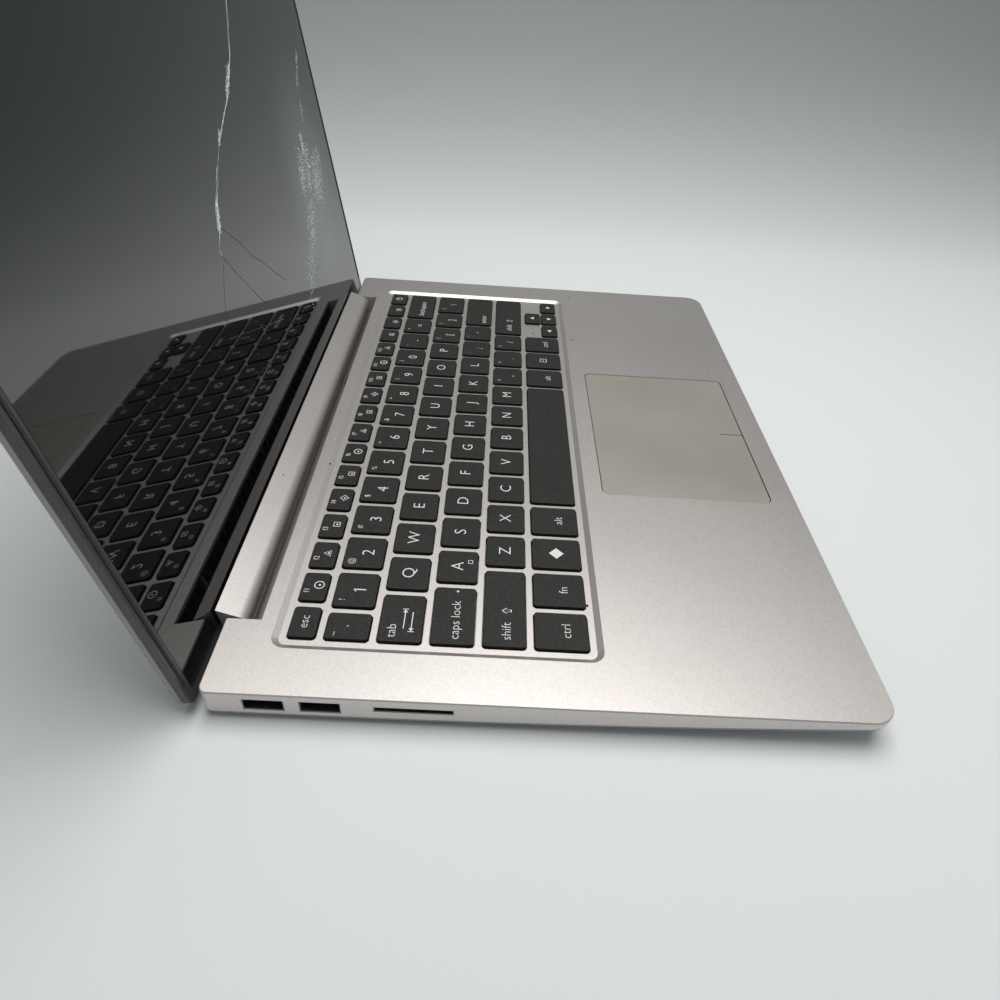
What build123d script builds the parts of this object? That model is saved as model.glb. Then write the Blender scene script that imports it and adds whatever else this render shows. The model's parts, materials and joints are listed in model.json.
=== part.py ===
"""Thin aluminium notebook computer, open, with cracked screen glass.

Frame: X to the user's right, Y to the back, Z up; z = 0 is the table under the feet and the
origin is the bottom centre of the open machine's box. The base is drawn in deck coordinates
(X right, Y back, heights below the deck's top face) and the lid in lid coordinates (X right,
S up along the screen from the hinge axis, depth behind the hinge axis).
"""
import os
from math import acos, atan2, cos, degrees, hypot, radians, sin, tan

from build123d import *

os.makedirs("parts", exist_ok=True)

# ---------------------------------------------------------------- driving dimensions (mm)
width = 323.0                # overall, left to right
depth = 223.0                # base, front to back
belly = 11.5                 # deck top to the flat of the bottom cover
foot_height = 1.5
deck_z = belly + foot_height
lean = 9.0                   # the lid leans back this far past upright

corner_front = 9.0           # plan corners
corner_rear = 3.0
deck_skin = 1.2              # deck plate
side_wall = 1.4
deck_edge = 0.4              # bright chamfer round the deck

front_lip = 2.4              # height of the side wall at the front edge
wall_mid_y, wall_mid = -29.0, 7.2      # and at two stations further back
wall_rear_y, wall_rear = 70.0, 9.4
tail_y, tail = 107.0, 5.5    # where the underside turns up, and the wall left at the back

seam = 0.1                   # between the top case and the bottom cover
cover_skin = 1.2
cover_inset = 0.3
pan_x, pan_front, pan_rear = 150.0, -88.0, 101.0
pan_slope = 50.0             # of the pan's sides, from vertical

# keyboard
pitch = 19.25
row_pitch = 17.9
function_pitch = 12.26
bottom_pitch = 21.8
key_gap = 2.95
keys_rear = 90.9             # rear edge of the key field
field_units = 14.5
cap_height = 2.4
cap_skin = 0.9
cap_corner = 1.3
key_travel = 1.2
well_depth = 1.2
well_slope = 2.2             # width of the bright slope round the well
well_margin = 3.4            # key field to the well's edge at deck level
web_skin = 0.8
key_clearance = 0.4
plate_skin = 0.5
plate_top = 3.9              # below the deck's top face

# touchpad
pad_width, pad_depth = 103.7, 74.1
pad_x, pad_front = -0.95, -100.3
pad_skin = 1.1
pad_gap = 0.35
pad_below = 0.15             # its face below the deck's
pad_corner = 3.0

# hinge
cut_half = 131.6             # half width of the cut-out in the back of the base
cut_front = 99.3
cut_wall = 1.4
axis_back = 109.1
axis_below = 4.7
cover_half = 131.0           # hinge cover, half length
cover_r = 5.0
cover_wall = 1.0
cover_cap = 1.2
pin_r = 1.5
pin_fit = 0.05               # running fit of the arm on its pin
pin_clear = 0.25             # round the pin where nothing bears
ear_wall = 0.7               # thin rear wall behind the pin
arm_r = 3.3
arm_in, arm_out = 119.0, 129.4

# lid, depths behind the hinge axis
glass_d = 5.3
glass_skin = 0.7
frame_d = 7.9
cover_in_d = 9.2
cover_out_d = 10.2
lid_low = 2.5                # below the axis
lid_length = 222.5
rim = 4.0                    # width of the frame seen round the glass
lid_edge = 0.9               # rounding of the lid cover's outer edge
lid_wall = 1.2
ledge = 2.0                  # of the frame, behind the glass's edge
notch_half = 129.8           # cut in the glass behind the hinge cover
notch_high = 7.4
cover_gap = 0.8              # hinge cover's back edge to the glass
gasket_inset, gasket_wide, gasket_deep = 1.5, 1.0, 0.5
leaf_d, leaf_skin = 6.8, 1.2
leaf_low, leaf_high, leaf_long = 1.9, 15.5, 30.0
panel_half, panel_low, panel_high = 149.0, 24.0, 204.0
bracket_in, bracket_wide, bracket_y = 133.4, 14.2, 99.4
lug_wide, lug_front = 5.0, 104.4
bracket_screws_at = ((136.5, 97.0), (136.5, 101.6), (144.6, 97.0))
cover_rear = 106.5           # back edge of the bottom cover under the cut-out
gasket_proud = 0.37          # rubber line standing out of the frame
fit = 0.1                    # small seating clearance

# cracks in the glass, in lid coordinates
crack_wide, crack_deep = 0.22, 0.3
cracks = [
    # the long one, from the top edge down towards the middle
    [(112, 215), (98, 202), (84, 189), (70, 178), (55, 164), (41, 147), (27, 136), (15, 130.3),
     (2, 123.5), (-6, 117.5), (-17.5, 107.2), (-20, 106), (-24, 99), (-29, 94.5), (-29, 91.5)],
    [(-22.5, 100.5), (-9.5, 90), (-1, 81), (7.5, 75.5), (18.5, 66), (30, 58)],
    [(-29, 91.5), (-22, 82.5), (-12, 71), (-2, 60)],
    [(-30.5, 89), (-37.5, 82), (-42.5, 75.5), (-45.5, 70.5)],
    [(-47.5, 67), (-38, 64), (-16.5, 56.5), (13.5, 46.5)],
    [(25, 45), (7.5, 41), (-13, 41.3), (-36, 43.8), (-48, 43.4), (-60, 46.7)],
    [(44.5, 38.5), (13.5, 35.5), (-16, 34)],
]

# fasteners
screw_r = 0.85
screw_long = 5.0
boss_r = 2.2
head_r, head_high = 1.9, 0.7
bracket_pad = 0.8            # pads under the deck that the hinge brackets screw to
bracket_pad_r = 1.6
bracket_skin = 1.0

# inside the base, depths below the deck
board_top, board_skin = 5.4, 1.0
board_under = board_top + board_skin
floor_in = belly - cover_skin
fan_x, fan_y, fan_r = 92.0, 60.0, 20.0
fan_box = (54.0, 46.0)
fan_top, fan_bottom = 5.0, 10.1
fan_sheet = 0.5
blades = 23
hub_r, shaft_r, bush_r = 7.0, 1.0, 2.3
bush_long = 2.4
pipe_wide, pipe_thick = 8.0, 1.4
pipe_top = board_under + 1.0 + fit
fin_y, fin_deep = 90.8, 13.4
grille_thick = 1.2
rib_pitch, rib_thick, rib_count = 7.0, 2.2, 37
grille_slot = 6.4
cable_x, cable_wide, cable_thick = 44.0, 9.0, 0.5
cable_below, cable_end = 8.7, 103.3
speaker_x, speaker_y = 134.5, -56.0
standoffs = [(-134.0, 89.0), (-60.0, 89.0), (40.0, 89.0), (-134.0, 48.0), (-60.0, 29.0), (40.0, 29.0)]
standoffs += [(128.0, 86.0), (128.0, 30.0)]
pad_board = 0.5
pad_bracket_top = 2.35

# ---------------------------------------------------------------- derived places
half_w, half_d = width / 2, depth / 2
lid_top = lid_length - lid_low
tilt = radians(lean)
lid_back_y = (
    axis_back
    + (lid_top - lid_edge) * sin(tilt)
    + (cover_out_d - lid_edge) * cos(tilt)
    + lid_edge
)
base_y = -(lid_back_y - half_d) / 2        # places the box's centre at y = 0
axis_y, axis_z = base_y + axis_back, deck_z - axis_below
lid_front = Vector(0, -cos(tilt), sin(tilt))
lid_up = Vector(0, sin(tilt), cos(tilt))
hinge_point = Vector(0, axis_y, axis_z)


def deck(below=0.0):
    """Plane of the base: sketch X and Y are deck coordinates, at a depth below the deck."""
    return Plane((0, base_y, deck_z - below))


def side(x=0.0):
    """Side elevation of the base: sketch X is deck Y, sketch Y is height over the deck."""
    return Plane((x, base_y, deck_z), x_dir=(0, 1, 0), z_dir=(1, 0, 0))


def back(y=0.0):
    """Rear elevation of the base, looking forward: sketch X is -X, sketch Y is height."""
    return Plane((0, base_y + y, deck_z), x_dir=(-1, 0, 0), z_dir=(0, 1, 0))


def lid(d=0.0):
    """Plane of the lid: sketch X is X, sketch Y runs up the screen from the hinge axis."""
    return Plane(hinge_point - lid_front * d, x_dir=(1, 0, 0), z_dir=lid_front)


def hinge_side(x=0.0):
    """Side elevation of the lid at the hinge: sketch X is depth back, sketch Y up the screen."""
    return Plane(hinge_point + Vector(x, 0, 0), x_dir=-lid_front, z_dir=(1, 0, 0))


def save(part, name):
    part.label = name
    export_step(part, f"parts/{name}.step")


def plan_outline(inset=0.0):
    """Rounded plan of the base, grown inwards by inset."""
    with BuildSketch() as outline:
        Rectangle(width - 2 * inset, depth - 2 * inset)
        fillet(outline.vertices().group_by(Axis.Y)[0], max(corner_front - inset, 1.0))
        fillet(outline.vertices().group_by(Axis.Y)[-1], max(corner_rear - inset, 1.0))
    return outline.sketch


def lid_outline(inset=0.0):
    """Rounded plan of the lid in lid coordinates."""
    with BuildSketch() as outline:
        with Locations((0, lid_length / 2 - lid_low)):
            Rectangle(width - 2 * inset, lid_length - 2 * inset)
        fillet(outline.vertices().group_by(Axis.Y)[-1], max(corner_front - inset, 1.0))
        fillet(outline.vertices().group_by(Axis.Y)[0], max(corner_rear - inset, 1.0))
    return outline.sketch


def underside(drop=0.0, top=0.0):
    """Side profile between a level line and the curved lower edge of the side walls."""
    front, rear = -half_d - 1, half_d + 1
    with BuildSketch() as profile:
        with BuildLine():
            Polyline((rear, -tail - drop), (rear, -top), (front, -top), (front, -front_lip - drop))
            ThreePointArc(
                (front, -front_lip - drop), (wall_mid_y, -wall_mid - drop), (wall_rear_y, -wall_rear - drop)
            )
            Line((wall_rear_y, -wall_rear - drop), (tail_y, -wall_rear - drop))
            ThreePointArc(
                (tail_y, -wall_rear - drop),
                (tail_y + 0.75 * (rear - tail_y), -wall_rear - drop + 0.42 * (wall_rear - tail)),
                (rear, -tail - drop),
            )
        make_face()
    return profile.sketch


def boss_places():
    """Screws that hold the bottom cover: three each side, two in front, two behind."""
    sides = [(x, y) for x in (-145.5, 145.5) for y in (-60.0, 8.0, 70.0)]
    return sides + [(-95.0, -82.0), (95.0, -82.0), (-105.0, 95.6), (28.0, 95.6)]


def arm_screw_places():
    """Two screws for each hinge arm, in lid coordinates."""
    return [(s * x, 11.5) for s in (-1, 1) for x in (105.0, 123.0)]


def bracket_screw_places():
    """Three screws for each hinge bracket."""
    return [(s * x, y) for s in (-1, 1) for x, y in bracket_screws_at]


# ---------------------------------------------------------------- keys: rows of cap places
def row_of(units, rear, row_depth):
    """Caps of one row, left to right: centre x, centre y, width, depth."""
    caps, x = [], -field_units * pitch / 2
    for unit in units:
        caps.append((x + unit * pitch / 2, rear - row_depth / 2, unit * pitch - key_gap, row_depth - key_gap))
        x += unit * pitch
    return caps


number_rear = keys_rear - function_pitch
bottom_rear = number_rear - 4 * row_pitch
function_units = [field_units / 17] * 17
function_row = row_of(function_units, keys_rear, function_pitch)
number_row = row_of([0.75] + [1] * 12 + [1.75], number_rear, row_pitch)
upper_row = row_of([1.25] + [1] * 12 + [1.25], number_rear - row_pitch, row_pitch)
home_row = row_of([1.5] + [1] * 11 + [2], number_rear - 2 * row_pitch, row_pitch)
lower_row = row_of([2] + [1] * 10 + [2.5], number_rear - 3 * row_pitch, row_pitch)
bottom_row = row_of([1] * 4 + [5] + [1] * 3, bottom_rear, bottom_pitch)
arrow_x = -field_units * pitch / 2 + 12 * pitch
arrow_unit = 2.5 / 3
half_row = (bottom_pitch - key_gap - 1.0) / 2
arrow_front_y = bottom_rear - bottom_pitch + key_gap / 2 + half_row / 2
arrow_rear_y = bottom_rear - key_gap / 2 - half_row / 2
arrow_width = arrow_unit * pitch - key_gap
arrow_centres = [arrow_x + (i + 0.5) * arrow_unit * pitch for i in range(3)]
arrow_row = [(x, arrow_front_y, arrow_width, half_row) for x in arrow_centres]
arrow_row.append((arrow_centres[1], arrow_rear_y, arrow_width, half_row))

key_groups = {
    "escape_key": function_row[:1],
    "function_keys": function_row[1:-1],
    "power_key": function_row[-1:],
    "number_keys": number_row,
    "upper_letter_keys": upper_row,
    "home_letter_keys": home_row[:-1],
    "enter_key": home_row[-1:],
    "lower_letter_keys": lower_row,
    "bottom_keys": bottom_row[:4] + bottom_row[5:],
    "space_bar": bottom_row[4:5],
    "arrow_keys": arrow_row,
}
all_caps = [cap for caps in key_groups.values() for cap in caps]

field_half = field_units * pitch / 2
field_front = bottom_rear - bottom_pitch
well_x = 2 * (field_half + well_margin)
well_y = keys_rear - field_front + 2 * well_margin
well_centre = (keys_rear + field_front) / 2


def well_outline(inset=0.0):
    with BuildSketch() as outline:
        with Locations((0, well_centre)):
            RectangleRounded(well_x - 2 * inset, well_y - 2 * inset, 5.0 - min(inset, 3.0))
    return outline.sketch


# ---------------------------------------------------------------- sockets in the side walls
class Socket:
    """A rectangular socket: deck Y of its middle, width along Y, height, depth below the deck."""

    def __init__(self, name, sign, y, wide, high, below, deep, tongue):
        self.name, self.sign, self.y = name, sign, y
        self.wide, self.high, self.below, self.deep = wide, high, below, deep
        self.tongue = tongue


sockets = [
    Socket("usb_socket_rear", -1, 91.6, 13.1, 5.2, 5.2, 12.4, 1.9),
    Socket("usb_socket_front", -1, 73.8, 13.1, 5.2, 5.2, 12.4, 1.9),
    Socket("card_reader", -1, 44.2, 25.6, 2.4, 4.75, 14.0, 0.7),
    Socket("hdmi_socket", 1, 72.0, 15.0, 5.2, 5.2, 12.0, 1.2),
    Socket("usb_c_socket", 1, 52.0, 9.0, 3.2, 5.0, 9.0, 0.7),
]
socket_wall = 0.3
socket_fit = 0.05
jack_y, jack_r, jack_below, jack_deep = 34.0, 1.8, 5.0, 13.0
inlet_y, inlet_r, inlet_below, inlet_deep = 90.0, 2.1, 5.2, 11.0
round_body = 5.6             # square body of the round sockets


# ================================================================ TOP CASE
with BuildPart() as top_case:
    # deck and side walls: the plan, cut below by the curved side profile
    with BuildSketch(deck()):
        add(plan_outline())
    extrude(amount=-belly)
    chamfer(top_case.faces().sort_by(Axis.Z)[-1].edges(), deck_edge)
    with BuildSketch(side(-half_w - 1)):
        add(underside())
    extrude(amount=width + 2, mode=Mode.INTERSECT)

    # inside of the shell, leaving walls beside the hinge cut-out
    with BuildSketch(deck(deck_skin)):
        add(plan_outline(side_wall))
        with Locations((0, half_d - side_wall)):
            Rectangle(width - 2 * side_wall - 4, 2 * (side_wall - ear_wall))
        with Locations(*[(s * (cut_half + cut_wall / 2), (half_d + cut_front) / 2) for s in (-1, 1)]):
            Rectangle(cut_wall, half_d - cut_front + 2.8, mode=Mode.SUBTRACT)
    extrude(amount=-belly, mode=Mode.SUBTRACT)

    # recessed web that the keys come up through
    with BuildSketch(deck()):
        add(well_outline(-1.2))
    extrude(amount=-well_depth - web_skin)
    with BuildSketch(deck(well_depth)):
        add(well_outline(well_slope))
    extrude(amount=well_depth, taper=-degrees(atan2(well_slope, well_depth)), mode=Mode.SUBTRACT)
    with BuildSketch(deck(well_depth)):
        for x, y, cap_w, cap_d in all_caps:
            with Locations((x, y)):
                RectangleRounded(
                    cap_w + 2 * key_clearance, cap_d + 2 * key_clearance, cap_corner + key_clearance
                )
    extrude(amount=-web_skin, mode=Mode.SUBTRACT)

    # touchpad opening
    with BuildSketch(deck()):
        with Locations((pad_x, pad_front + pad_depth / 2)):
            RectangleRounded(pad_width + 2 * pad_gap, pad_depth + 2 * pad_gap, pad_corner + pad_gap)
    extrude(amount=-deck_skin, mode=Mode.SUBTRACT)

    # hinge cut-out, open to the back, and the holes for the hinge pins beside it
    with BuildSketch(deck()):
        with Locations((0, cut_front + depth / 2)):
            Rectangle(2 * cut_half, depth)
    extrude(amount=-2 * belly, mode=Mode.SUBTRACT)
    with BuildSketch(side(-cut_half - cut_wall - 1)):
        with Locations((axis_back, -axis_below)):
            Circle(pin_r + pin_clear)
    extrude(amount=2 * (cut_half + cut_wall + 1), mode=Mode.SUBTRACT)

    # bosses for the bottom cover's screws
    with BuildSketch(deck(belly - cover_skin)):
        with Locations(*boss_places()):
            Circle(boss_r)
    extrude(amount=belly - cover_skin - deck_skin)
    with BuildSketch(deck(belly - cover_skin)):
        with Locations(*boss_places()):
            Circle(screw_r + fit / 2)
    extrude(amount=screw_long, mode=Mode.SUBTRACT)

    # pads that the hinge brackets screw to
    with BuildSketch(deck(deck_skin)):
        with Locations(*bracket_screw_places()):
            Circle(bracket_pad_r)
    extrude(amount=-bracket_pad)
    with BuildSketch(deck(deck_skin + bracket_pad)):
        with Locations(*bracket_screw_places()):
            Circle(screw_r + fit / 2)
    extrude(amount=bracket_pad + 0.6, mode=Mode.SUBTRACT)

    # socket openings in the side walls
    for socket in sockets:
        x = socket.sign * (half_w - side_wall - 1)
        with BuildSketch(side(x)):
            with Locations((socket.y, -socket.below)):
                Rectangle(socket.wide + 2 * socket_fit, socket.high + 2 * socket_fit)
        extrude(amount=socket.sign * 4, mode=Mode.SUBTRACT)
    with BuildSketch(side(half_w - side_wall - 1)):
        with Locations((jack_y, -jack_below)):
            Circle(jack_r + 0.9)
        with Locations((inlet_y, -inlet_below)):
            Circle(inlet_r + 0.6)
    extrude(amount=4, mode=Mode.SUBTRACT)
save(top_case.part, "top_case")


# ================================================================ BOTTOM COVER
with BuildPart() as pan:
    # shallow pan with sloping sides that carries the feet
    with BuildSketch(deck(belly)):
        with Locations((0, (pan_front + pan_rear) / 2)):
            RectangleRounded(2 * pan_x, pan_rear - pan_front, 8.0)
    extrude(amount=belly - front_lip - 0.2, taper=-pan_slope)
    with BuildSketch(side(-half_w - 20)):
        with Locations((0, -belly / 2)):
            Rectangle(depth + 60, belly + 2)
        add(underside(seam), mode=Mode.SUBTRACT)
    extrude(amount=width + 40, mode=Mode.INTERSECT)
with BuildPart() as pan_inside:
    grow = cover_skin * tan(radians(pan_slope)) - cover_skin / cos(radians(pan_slope))
    with BuildSketch(deck(floor_in)):
        with Locations((0, (pan_front + pan_rear) / 2)):
            RectangleRounded(2 * (pan_x + grow), pan_rear - pan_front + 2 * grow, 8.0 + grow)
    extrude(amount=belly - 2.0, taper=-pan_slope)

with BuildPart() as bottom_cover:
    # sheet that follows the lower edge of the side walls
    with BuildSketch(deck()):
        add(plan_outline(cover_inset))
    extrude(amount=-2 * belly)
    with BuildSketch(side(-half_w - 1)):
        add(underside(seam + cover_skin))
        add(underside(seam), mode=Mode.SUBTRACT)
    extrude(amount=width + 2, mode=Mode.INTERSECT)
    add(pan.part)
    add(pan_inside.part, mode=Mode.SUBTRACT)
    # room for the hinge cover and the lid's lower edge
    with BuildSketch(deck()):
        with Locations((0, cover_rear + depth / 2)):
            Rectangle(2 * (cut_half + cut_wall), depth)
    extrude(amount=-2 * belly, mode=Mode.SUBTRACT)
    # sunk screw holes, fan intake and speaker slots
    with BuildSketch(deck(belly)):
        with Locations(*boss_places()):
            Circle(head_r + fit)
    extrude(amount=head_high, mode=Mode.SUBTRACT)
    with BuildSketch(deck(belly)):
        with Locations(*boss_places()):
            Circle(screw_r + fit)
        with Locations((fan_x, fan_y)):
            with GridLocations(4.0, 17.0, 9, 2):
                SlotOverall(14.0, 1.8, rotation=90)
        for x in (-speaker_x, speaker_x):
            with Locations((x, speaker_y)):
                with GridLocations(2.6, 0, 3, 1):
                    SlotOverall(26.0, 1.2, rotation=90)
    extrude(amount=cover_skin, mode=Mode.SUBTRACT)
save(bottom_cover.part, "bottom_cover")

with BuildPart() as bottom_screws:
    with BuildSketch(deck(belly - fit)):
        with Locations(*boss_places()):
            Circle(head_r)
    extrude(amount=head_high - fit)
    with BuildSketch(deck(belly - fit)):
        with Locations(*boss_places()):
            Circle(screw_r)
    extrude(amount=screw_long)
    # cross recess
    with BuildSketch(deck(belly - fit)):
        with Locations(*boss_places()):
            Rectangle(2.0, 0.5)
            Rectangle(0.5, 2.0)
    extrude(amount=0.4, mode=Mode.SUBTRACT)
save(bottom_screws.part, "bottom_screws")

for foot_name, foot_x, foot_y, foot_long, foot_wide in (
    ("front_feet", 118.0, -76.0, 24.0, 8.0),
    ("rear_feet", 124.0, 88.0, 34.0, 8.0),
):
    with BuildPart() as feet:
        with BuildSketch(deck(belly)):
            with Locations((-foot_x, foot_y), (foot_x, foot_y)):
                SlotOverall(foot_long, foot_wide)
        extrude(amount=-foot_height)
        chamfer(feet.edges().group_by(Axis.Z)[0], 0.4)
    save(feet.part, foot_name)

with BuildPart() as exhaust_grille:
    # ribbed black strip under the deck's edge, where the warm air leaves
    with BuildSketch(deck(deck_skin + seam / 2)):
        with Locations((0, cut_front - 0.2 - grille_thick / 2)):
            Rectangle(2 * (cut_half - 0.5), grille_thick)
    extrude(amount=-(floor_in - deck_skin - seam))
    with BuildSketch(back(cut_front + 1)):
        with Locations((0, -(deck_skin + floor_in) / 2)):
            with GridLocations(rib_pitch, 0, rib_count, 1):
                Rectangle(rib_pitch - rib_thick, grille_slot)
        with Locations((-cable_x, -cable_below)):
            Rectangle(cable_wide + 1.6, cable_thick + 1.2)
    extrude(amount=-4, mode=Mode.SUBTRACT)
save(exhaust_grille.part, "exhaust_grille")


# ================================================================ KEYBOARD
with BuildPart() as keyboard_plate:
    plate_under = plate_top + plate_skin
    with BuildSketch(deck(plate_top)):
        with Locations((0, well_centre)):
            RectangleRounded(2 * field_half + 3, keys_rear - field_front + 2, 3.0)
    extrude(amount=-plate_skin)
    # posts up to the web, between the rows of keys
    with BuildSketch(deck(plate_top)):
        for row in range(5):
            for x in (-120.0, -60.0, 0.0, 60.0, 120.0):
                with Locations((x, number_rear - row * row_pitch)):
                    Circle(0.8)
    extrude(amount=plate_top - well_depth - web_skin)
    # stand-offs that the boards hang from
    with BuildSketch(deck(plate_under)):
        with Locations(*standoffs):
            Circle(2.0)
    extrude(amount=-(board_top - plate_under))
save(keyboard_plate.part, "keyboard_plate")

with BuildPart() as key_scissors:
    # folding supports and their rubber domes, one under each cap and three under the wide bar
    with BuildSketch(deck(plate_top)):
        for x, y, cap_w, cap_d in all_caps:
            for place in ((-0.36 * cap_w, 0, 0.36 * cap_w) if cap_w > 4 * pitch else (0,)):
                size_x, size_y = min(9.0, cap_w - 4), min(8.0, cap_d - 3)
                with Locations((x + place, y)):
                    Rectangle(size_x, size_y)
                    Rectangle(size_x - 1.6, size_y - 1.6, mode=Mode.SUBTRACT)
                    Rectangle(size_x, 1.2)
    extrude(amount=plate_top - cap_skin - key_travel - 0.2)
save(key_scissors.part, "key_scissors")

for group, caps in key_groups.items():
    with BuildPart() as keys:
        with BuildSketch(deck(cap_height)):
            for x, y, cap_w, cap_d in caps:
                with Locations((x, y)):
                    RectangleRounded(cap_w, cap_d, cap_corner)
        extrude(amount=cap_height)
        fillet(keys.edges().group_by(Axis.Z)[-1], 0.3)
        with BuildSketch(deck(cap_height)):
            for x, y, cap_w, cap_d in caps:
                with Locations((x, y)):
                    Rectangle(cap_w - 2 * cap_skin, cap_d - 2 * cap_skin)
        extrude(amount=cap_height - cap_skin, mode=Mode.SUBTRACT)
    save(keys.part, group)


# ================================================================ TOUCHPAD
pad_y = pad_front + pad_depth / 2
with BuildPart() as touchpad:
    with BuildSketch(deck(pad_below)):
        with Locations((pad_x, pad_y)):
            RectangleRounded(pad_width, pad_depth, pad_corner)
    extrude(amount=-pad_skin)
    chamfer(touchpad.edges().group_by(Axis.Z)[-1], 0.2)
    # circuit board on its back
    with BuildSketch(deck(pad_below + pad_skin)):
        with Locations((pad_x, pad_y + 2)):
            Rectangle(pad_width - 8, pad_depth - 10)
    extrude(amount=-pad_board)
save(touchpad.part, "touchpad")

with BuildPart() as touchpad_bracket:
    # pressed steel frame under the pad, fixed to the deck's underside
    pad_frame_x, pad_frame_y = pad_width + 12, pad_depth + 2
    with BuildSketch(deck(pad_bracket_top)):
        with Locations((pad_x, pad_y)):
            Rectangle(pad_frame_x, pad_frame_y)
            with GridLocations(pad_frame_x / 3, pad_frame_y / 2, 3, 2):
                Rectangle(pad_frame_x / 3 - 8, pad_frame_y / 2 - 8, mode=Mode.SUBTRACT)
    extrude(amount=-0.5)
    with BuildSketch(deck(pad_bracket_top)):
        with Locations((pad_x, pad_y)):
            with GridLocations(pad_frame_x - 4, 0, 2, 1):
                Rectangle(4, pad_frame_y)
    extrude(amount=pad_bracket_top - deck_skin)
save(touchpad_bracket.part, "touchpad_bracket")


# ================================================================ SOCKETS
for socket in sockets:
    with BuildPart() as shell:
        with BuildSketch(side(socket.sign * (half_w - 0.2))):
            with Locations((socket.y, -socket.below)):
                Rectangle(socket.wide, socket.high)
        extrude(amount=-socket.sign * socket.deep)
        with BuildSketch(side(socket.sign * (half_w - 0.2))):
            with Locations((socket.y, -socket.below)):
                Rectangle(socket.wide - 2 * socket_wall, socket.high - 2 * socket_wall)
        extrude(amount=-socket.sign * (socket.deep - 0.5), mode=Mode.SUBTRACT)
    save(shell.part, socket.name)

with BuildPart() as socket_tongues:
    # plastic blades that carry the contacts
    for socket in sockets:
        with BuildSketch(side(socket.sign * (half_w - 2.0))):
            with Locations((socket.y, -socket.below + (0.9 if socket.high > 4 else 0))):
                Rectangle(socket.wide - 2 * socket_wall - 1.0, socket.tongue)
        extrude(amount=-socket.sign * (socket.deep - 2.35))
save(socket_tongues.part, "socket_tongues")

for name, y, r, below, deep in (
    ("audio_jack", jack_y, jack_r, jack_below, jack_deep),
    ("power_inlet", inlet_y, inlet_r, inlet_below, inlet_deep),
):
    with BuildPart() as round_socket:
        with BuildSketch(side(half_w - side_wall - fit)):
            with Locations((y, -below)):
                Rectangle(round_body, round_body)
        extrude(amount=-deep)
        with BuildSketch(side(half_w - side_wall - fit)):
            with Locations((y, -below)):
                Circle(r + 0.55)
        extrude(amount=side_wall - 0.1)
        with BuildSketch(side(half_w)):
            with Locations((y, -below)):
                Circle(r)
        extrude(amount=-deep, mode=Mode.SUBTRACT)
    save(round_socket.part, name)


# ================================================================ INSIDE THE BASE
def block(name, x0, x1, y0, y1, top, bottom, round_r=0.8):
    """Rounded block between two depths below the deck."""
    with BuildPart() as piece:
        with BuildSketch(deck(top)):
            with Locations(((x0 + x1) / 2, (y0 + y1) / 2)):
                RectangleRounded(x1 - x0, y1 - y0, round_r)
        extrude(amount=top - bottom)
    save(piece.part, name)


with BuildPart() as mainboard:
    with BuildSketch(deck(board_top)):
        with Locations((-46.0, 59.0)):
            RectangleRounded(188.0, 66.0, 2.0)
        with Locations((-128.0, 31.0)):
            Rectangle(24.0, 24.0, mode=Mode.SUBTRACT)
    extrude(amount=-board_skin)
save(mainboard.part, "mainboard")
block("side_board", 124.0, 142.0, 26.0, 92.0, board_top, board_under)
block("processor", -8.0, 34.0, 48.0, 72.0, board_under, board_under + 1.0)
block("solid_state_drive", -96.0, -16.0, 28.0, 44.0, board_under + fit, board_under + 2.3)
block("wireless_card", -134.0, -112.0, 52.0, 82.0, board_under + fit, board_under + 1.9)
block("battery_pack", -127.0, 127.0, -78.0, -22.0, 5.2, floor_in - fit, 2.0)
block("left_speaker", -speaker_x - 5.5, -speaker_x + 5.5, speaker_y - 18, speaker_y + 18, 5.6, floor_in - fit, 1.5)
block("right_speaker", speaker_x - 5.5, speaker_x + 5.5, speaker_y - 18, speaker_y + 18, 5.6, floor_in - fit, 1.5)

with BuildPart() as memory_chips:
    with BuildSketch(deck(board_under)):
        with Locations((-55.0, 66.0)):
            with GridLocations(17.0, 0, 4, 1):
                RectangleRounded(13.0, 15.0, 0.4)
    extrude(amount=-0.9)
save(memory_chips.part, "memory_chips")

with BuildPart() as heat_pipe:
    # flattened copper tube from the processor to the fins
    with BuildSketch(deck(pipe_top)):
        with BuildLine():
            FilletPolyline((-4, 60), (34, 60), (62, 92), (118, 92), radius=12)
        trace(line_width=pipe_wide)
    extrude(amount=-pipe_thick)
save(heat_pipe.part, "heat_pipe")

with BuildPart() as fin_stack:
    with BuildSketch(deck(pipe_top - fit)):
        with Locations((fan_x, fin_y)):
            Rectangle(fan_box[0], fin_deep)
    extrude(amount=pipe_top - fit - fan_top)
    with BuildSketch(back(fin_y + fin_deep)):
        with Locations((-fan_x, -(pipe_top + fan_top) / 2)):
            with GridLocations(2.0, 0, 26, 1):
                Rectangle(1.5, pipe_top - fan_top - 0.8)
    extrude(amount=-3 * fin_deep, mode=Mode.SUBTRACT)
save(fin_stack.part, "fin_stack")

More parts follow.
